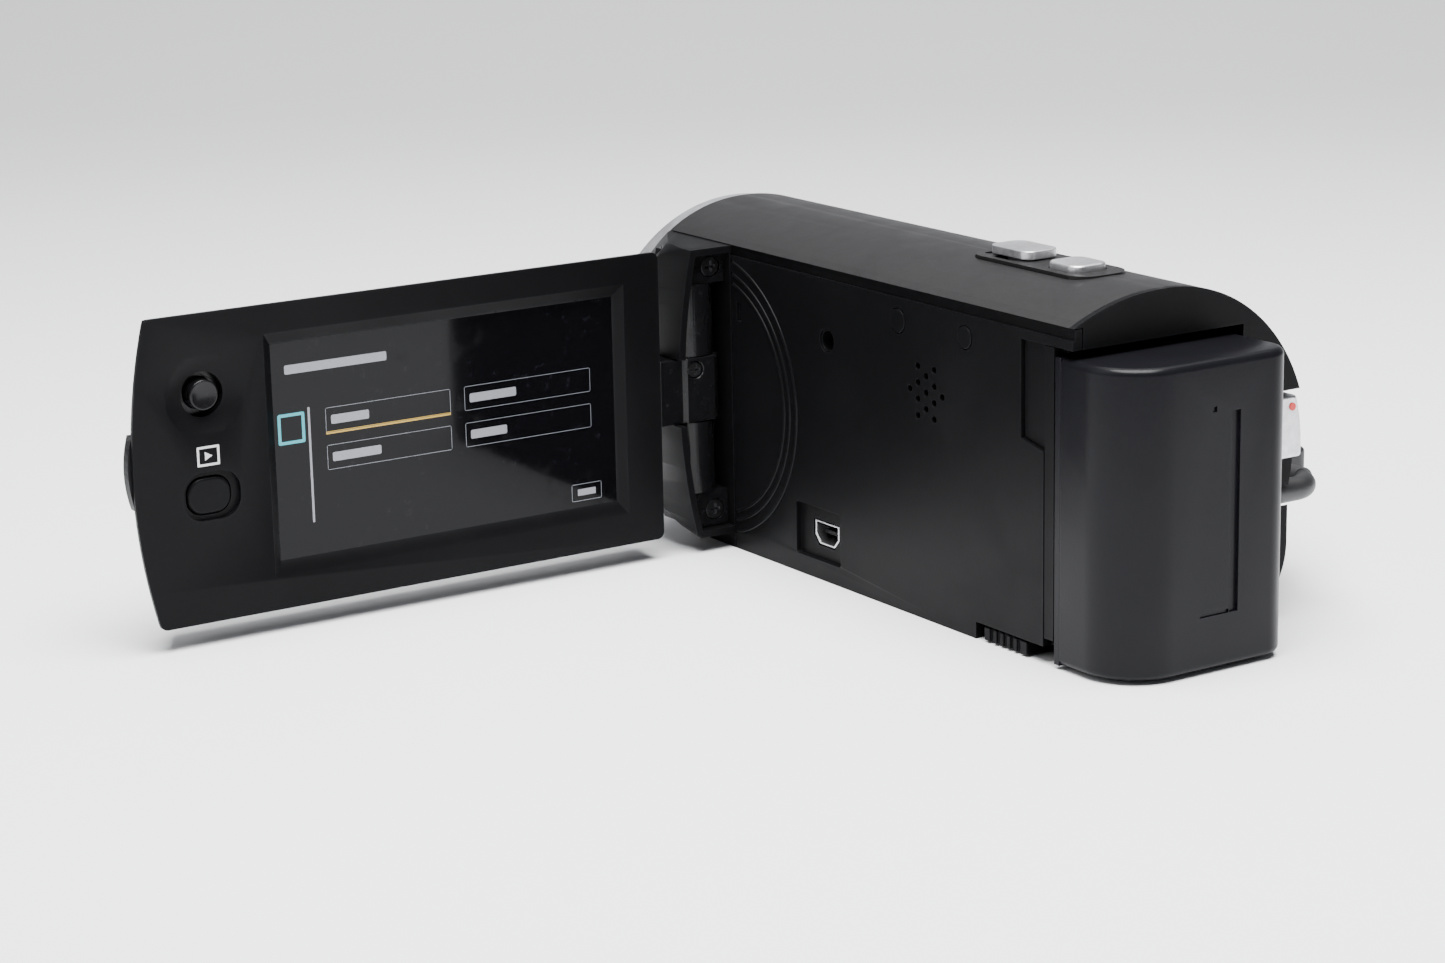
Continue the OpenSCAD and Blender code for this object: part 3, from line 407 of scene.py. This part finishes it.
def rounded(node, width):
    """A copy of a CAD node with its tessellation cleaned and its sharp edges rounded."""
    bm = bmesh.new()
    bm.from_mesh(nodes[node].data)
    bmesh.ops.remove_doubles(bm, verts=bm.verts, dist=2e-6)
    bmesh.ops.dissolve_limit(bm, angle_limit=math.radians(0.6), verts=bm.verts, edges=bm.edges)
    mesh = bpy.data.meshes.new(node + "_shaped")
    bm.to_mesh(mesh)
    bm.free()
    piece = bpy.data.objects.new(node + "_shaped", mesh)
    bpy.context.scene.collection.objects.link(piece)
    soften_shading(mesh, BEVEL_ANGLE)
    bevel = piece.modifiers.new("round", "BEVEL")
    bevel.width = width
    bevel.segments = 3
    bevel.limit_method = "ANGLE"
    bevel.angle_limit = BEVEL_ANGLE
    bevel.use_clamp_overlap = True
    bevel.harden_normals = True
    apply_modifiers(piece)
    dress(piece, node)


def plain_nodes(names):
    """Gives the CAD nodes their finish, for those that no shaped copy replaces."""
    for name in names:
        node = nodes[name]
        node.data.materials.clear()
        node.data.materials.append(MATERIALS[slot_of[name]])



def mesh_piece(name, bm, node, material=None):
    """Makes a shown piece of a bmesh and hangs it on the node's body."""
    mesh = bpy.data.meshes.new(name)
    bm.to_mesh(mesh)
    bm.free()
    piece = bpy.data.objects.new(name, mesh)
    bpy.context.scene.collection.objects.link(piece)
    soften_shading(mesh, CREASE_ANGLE)
    mesh.materials.append(material or MATERIALS[slot_of[node]])
    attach(piece, body_of[node])
    return piece


def loft(rings):
    """A closed skin over rings that have as many points as each other, capped at both ends."""
    bm = bmesh.new()
    loops = [[bm.verts.new(point) for point in ring] for ring in rings]
    for a, b in zip(loops, loops[1:]):
        for i in range(len(a)):
            j = (i + 1) % len(a)
            bm.faces.new((a[i], a[j], b[j], b[i]))
    bm.faces.new(loops[0])
    bm.faces.new(loops[-1])
    bmesh.ops.recalc_face_normals(bm, faces=bm.faces)
    return bm


def plate(points, low, high):
    """A flat prism: points are an outline in the XZ plane, and low and high are its two depths in Y."""
    return loft([[(x, y, z) for x, z in points] for y in (low, high)])


def outline(cx, cy, width, height, radius, steps):
    """The points of a rectangle with rounded corners, each corner in that many steps."""
    points = []
    for turn, sx, sy in ((0, 1, 1), (90, -1, 1), (180, -1, -1), (270, 1, -1)):
        for i in range(steps + 1):
            a = math.radians(turn + 90 * i / steps)
            points.append((cx + sx * (width / 2 - radius) + radius * math.cos(a),
                           cy + sy * (height / 2 - radius) + radius * math.sin(a)))
    return points


def frame_strip(outer, inner, low, high):
    """A flat ring between two outlines that have as many points as each other."""
    bm = bmesh.new()
    corners = ((outer, low), (outer, high), (inner, high), (inner, low))
    loops = [[bm.verts.new((x, y, z)) for x, z in line] for line, y in corners]
    n = len(outer)
    for k in range(4):
        a, b = loops[k], loops[(k + 1) % 4]
        for i in range(n):
            j = (i + 1) % n
            bm.faces.new((a[i], a[j], b[j], b[i]))
    bmesh.ops.recalc_face_normals(bm, faces=bm.faces)
    return bm


# ---------------------------------------------------------------- what the display shows
def draw_screen():
    """The menu on the display, with plain bars where its words would be."""
    low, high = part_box("display_glass")
    glass_w, glass_h = high.x - low.x, high.z - low.z
    lit = {
        "ghost": glowing("screen_grey_light", (0.42, 0.43, 0.48), 0.2),
        "rim": glowing("screen_rim_light", (0.3, 0.32, 0.36), 0.09),
        "teal": glowing("screen_teal_light", (0.04, 0.5, 0.58), 0.55),
        "amber": glowing("screen_amber_light", (0.62, 0.4, 0.06), 0.6),
    }
    depths = (high.y + 0.01 * MM, high.y + 0.03 * MM)

    def at(u, v):
        """Place on the display: u from its free-end side, v from the top, both 0 to 1."""
        return high.x - u * glass_w, high.z - v * glass_h

    def bar(name, u0, u1, v0, v1, light, radius=0.25):
        x0, z0 = at(u0, v0)
        x1, z1 = at(u1, v1)
        w, h = abs(x0 - x1), abs(z0 - z1)
        shape = outline((x0 + x1) / 2, (z0 + z1) / 2, w, h, min(radius * MM, h * 0.45, w * 0.45), 3)
        mesh_piece("display_" + name, plate(shape, *depths), "display_glass", lit[light])

    def ring(name, u0, u1, v0, v1, width, light):
        x0, z0 = at(u0, v0)
        x1, z1 = at(u1, v1)
        w, h = abs(x0 - x1), abs(z0 - z1)
        cx, cz = (x0 + x1) / 2, (z0 + z1) / 2
        outer = outline(cx, cz, w, h, 0.3 * MM, 3)
        inner = outline(cx, cz, w - 2 * width * MM, h - 2 * width * MM, 0.1 * MM, 3)
        mesh_piece("display_" + name, frame_strip(outer, inner, *depths), "display_glass", lit[light])

    bar("title", 0.05, 0.33, 0.125, 0.165, "ghost")
    ring("tab", 0.025, 0.098, 0.335, 0.47, 0.5, "teal")
    bar("divider", 0.107, 0.113, 0.32, 0.83, "ghost", 0.1)
    columns = ((0.155, 0.505), (0.545, 0.915))
    rows = ((0.335, 0.445), (0.5, 0.61))
    for c, (u0, u1) in enumerate(columns):
        for r, (v0, v1) in enumerate(rows):
            ring(f"choice_{c}_{r}", u0, u1, v0, v1, 0.09, "rim")
            text_end = u0 + 0.12 + 0.03 * ((c + r) % 2)
            bar(f"choice_text_{c}_{r}", u0 + 0.015, text_end, v0 + 0.035, v1 - 0.035, "ghost")
    bar("choice_mark", 0.155, 0.505, 0.44, 0.452, "amber", 0.1)
    ring("next_key", 0.85, 0.94, 0.865, 0.945, 0.1, "rim")
    bar("next_key_text", 0.868, 0.922, 0.89, 0.92, "ghost", 0.1)


# ---------------------------------------------------------------- printed marks and small parts
def print_marks():
    """A play arrow in a square frame, printed above the play key."""
    white = polished("printed_white", (0.55, 0.55, 0.56), 0.5)
    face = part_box("panel_bezel")[1].y
    key_low, key_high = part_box("play_button")
    px, pz = (key_low.x + key_high.x) / 2, key_high.z + 3.3 * MM
    thin = (face - 0.01 * MM, face + 0.02 * MM)
    outer = outline(px, pz, 3.6 * MM, 3.0 * MM, 0.1 * MM, 2)
    inner = outline(px, pz, 2.9 * MM, 2.3 * MM, 0.05 * MM, 2)
    mesh_piece("print_play_frame", frame_strip(outer, inner, *thin), "panel_bezel", white)
    arrow = [(px + 0.55 * MM, pz + 0.65 * MM), (px + 0.55 * MM, pz - 0.65 * MM), (px - 0.65 * MM, pz)]
    mesh_piece("print_play_arrow", plate(arrow, *thin), "panel_bezel", white)


def cut_groove(piece, low, high):
    """Cuts a box out of a piece, between two corners."""
    bm = bmesh.new()
    size, middle = high - low, (low + high) / 2
    bmesh.ops.create_cube(bm, size=1, matrix=Matrix.Translation(middle) @ Matrix.Diagonal((*size, 1)))
    mesh = bpy.data.meshes.new("groove_cutter")
    bm.to_mesh(mesh)
    bm.free()
    cutter = bpy.data.objects.new("groove_cutter", mesh)
    bpy.context.scene.collection.objects.link(cutter)
    trim = piece.modifiers.new("groove", "BOOLEAN")
    trim.operation = "DIFFERENCE"
    trim.solver = "EXACT"
    trim.object = cutter
    bpy.context.view_layer.update()
    apply_modifiers(piece)
    bpy.data.objects.remove(cutter)


def make_pack():
    """The battery case: softly rounded ends, and a groove with its foot and the dot above it."""
    low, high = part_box("battery_case")
    wide, tight, soft = 9 * MM, 4.2 * MM, 1.1 * MM
    steps, soft_steps = 16, 6

    def section(inset):
        points = [(low.x + inset, low.y), (high.x - inset, low.y)]
        for centre_x, radius, start in ((high.x - wide, wide, 0), (low.x + tight, tight, 90)):
            for i in range(steps + 1):
                a = math.radians(start + 90 * i / steps)
                reach = radius - inset
                points.append((centre_x + reach * math.cos(a), high.y - radius + reach * math.sin(a)))
        return points

    levels = []
    for i in range(soft_steps + 1):
        a = math.radians(90 * i / soft_steps)
        levels.append((soft * (1 - math.sin(a)), low.z + soft * (1 - math.cos(a))))
    levels += [(inset, low.z + high.z - z) for inset, z in reversed(levels)]
    rings = [[(x, y, z) for x, y in section(inset)] for inset, z in levels]
    piece = mesh_piece("battery_case_shaped", loft(rings), "battery_case")
    foot, over = low.z + 8 * MM, 1 * MM
    grooves = ((10.2, 11.8, 0, 29.4, 0.5), (11.9, 17.2, 0, 0.6, 0.3), (14.6, 15.4, 29.6, 30.4, 0.3))
    for x0, x1, z0, z1, deep in grooves:
        cut_groove(piece, Vector((low.x + x0 * MM, high.y - deep * MM, foot + z0 * MM)),
                   Vector((low.x + x1 * MM, high.y + over, foot + z1 * MM)))
    piece.data.set_sharp_from_angle(angle=CREASE_ANGLE)
    dress(piece, "battery_case")


def make_ribs():
    """Three raised arcs on the side wall, beside the hinge pocket."""
    low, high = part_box("left_cover")
    centre_y, centre_z, front = low.y - 4.85 * MM, 25.1 * MM, low.y + 0.4 * MM
    steps, sides = 72, 8
    half_width, height, sunk = 0.26 * MM, 0.22 * MM, 0.02 * MM
    for number, radius in enumerate((22.9 * MM, 21.0 * MM, 19.5 * MM)):
        end = math.acos((front - centre_y) / radius)
        rings = []
        for i in range(steps + 1):
            a = -end + 2 * end * i / steps
            ring = []
            for k in range(sides + 1):
                t = math.pi * k / sides
                r = radius + half_width * math.cos(t)
                x = high.x + height * math.sin(t) - sunk
                ring.append((x, centre_y + r * math.cos(a), centre_z + r * math.sin(a)))
            rings.append(ring)
        mesh_piece(f"wall_rib_{number}", loft(rings), "left_cover")


def make_pad():
    """The strap's padded cover, which swells between two stitched lines and puckers along them."""
    low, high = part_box("strap_pad")
    piece = bpy.data.objects.new("strap_pad_stuffed", nodes["strap_pad"].data.copy())
    bpy.context.scene.collection.objects.link(piece)
    remesh = piece.modifiers.new("even", "REMESH")
    remesh.mode = "VOXEL"
    remesh.voxel_size = 0.7 * MM
    soften = piece.modifiers.new("soften", "SMOOTH")
    soften.iterations = 6
    apply_modifiers(piece)
    middle, half = (low.z + high.z) / 2, (high.z - low.z) / 2
    seam, seam_width = 0.78, 0.06
    hand_swell, back_swell, seam_depth, shrink = 0.75, 0.2, 0.45, 0.1
    inside = Vector(((low.x + high.x) / 2 + 30 * MM, (low.y + high.y) / 2, 0))
    moves = []
    for vertex in piece.data.vertices:
        across = (vertex.co.z - middle) / half
        crown = max(0.0, 1 - (across / seam) ** 2) ** 0.5
        stitch = math.exp(-((abs(across) - seam) / seam_width) ** 2)
        pucker = noise.noise(vertex.co * 260) * 0.12 + math.sin(vertex.co.y / (2.2 * MM)) * 0.1 * stitch
        facing = (inside - vertex.co).normalized().dot(vertex.normal)
        swell = (hand_swell if facing > 0 else back_swell) * crown - seam_depth * stitch + pucker - shrink
        moves.append(vertex.normal * swell * MM)
    for vertex, move in zip(piece.data.vertices, moves):
        vertex.co += move
    finer = piece.modifiers.new("finer", "SUBSURF")
    finer.levels = 1
    apply_modifiers(piece)
    for face in piece.data.polygons:
        face.use_smooth = True
    dress(piece, "strap_pad")


# how far each CAD node's edges are rounded, in mm
BEVELS = {
    "front_housing": 0.5, "left_cover": 0.12, "right_cover": 0.3, "rear_frame": 0.25, "top_cover": 0.35,
    "hinge_cover": 0.25, "hinge_block": 0.4, "panel_shell": 0.35, "panel_bezel": 0.25,
    "play_button": 0.5, "selector_stick": 0.35, "hand_strap": 0.3, "zoom_lever": 0.35,
    "photo_button": 0.4, "record_button": 0.5, "power_button": 0.1, "light_button": 0.1,
    "release_slider": 0.15, "block_screw": 0.08, "pocket_screws": 0.08, "digital_socket": 0.1,
    "usb_plug": 0.6, "plug_sleeve": 0.3, "base_cover": 0.2, "card_door": 0.2, "strap_lugs": 0.3,
    "lens_bezel": 0.2, "control_pod": 0.35, "battery_lid": 0.1, "base_screws": 0.08, "phones_jack": 0.1,
    "tripod_insert": 0.15,
}

add_camera()
add_lights()
add_stage(stage_paper())
plain_nodes(sorted(nodes))

for name, width in BEVELS.items():
    rounded(name, width * MM)
make_pack()
make_ribs()
make_pad()
draw_screen()
print_marks()
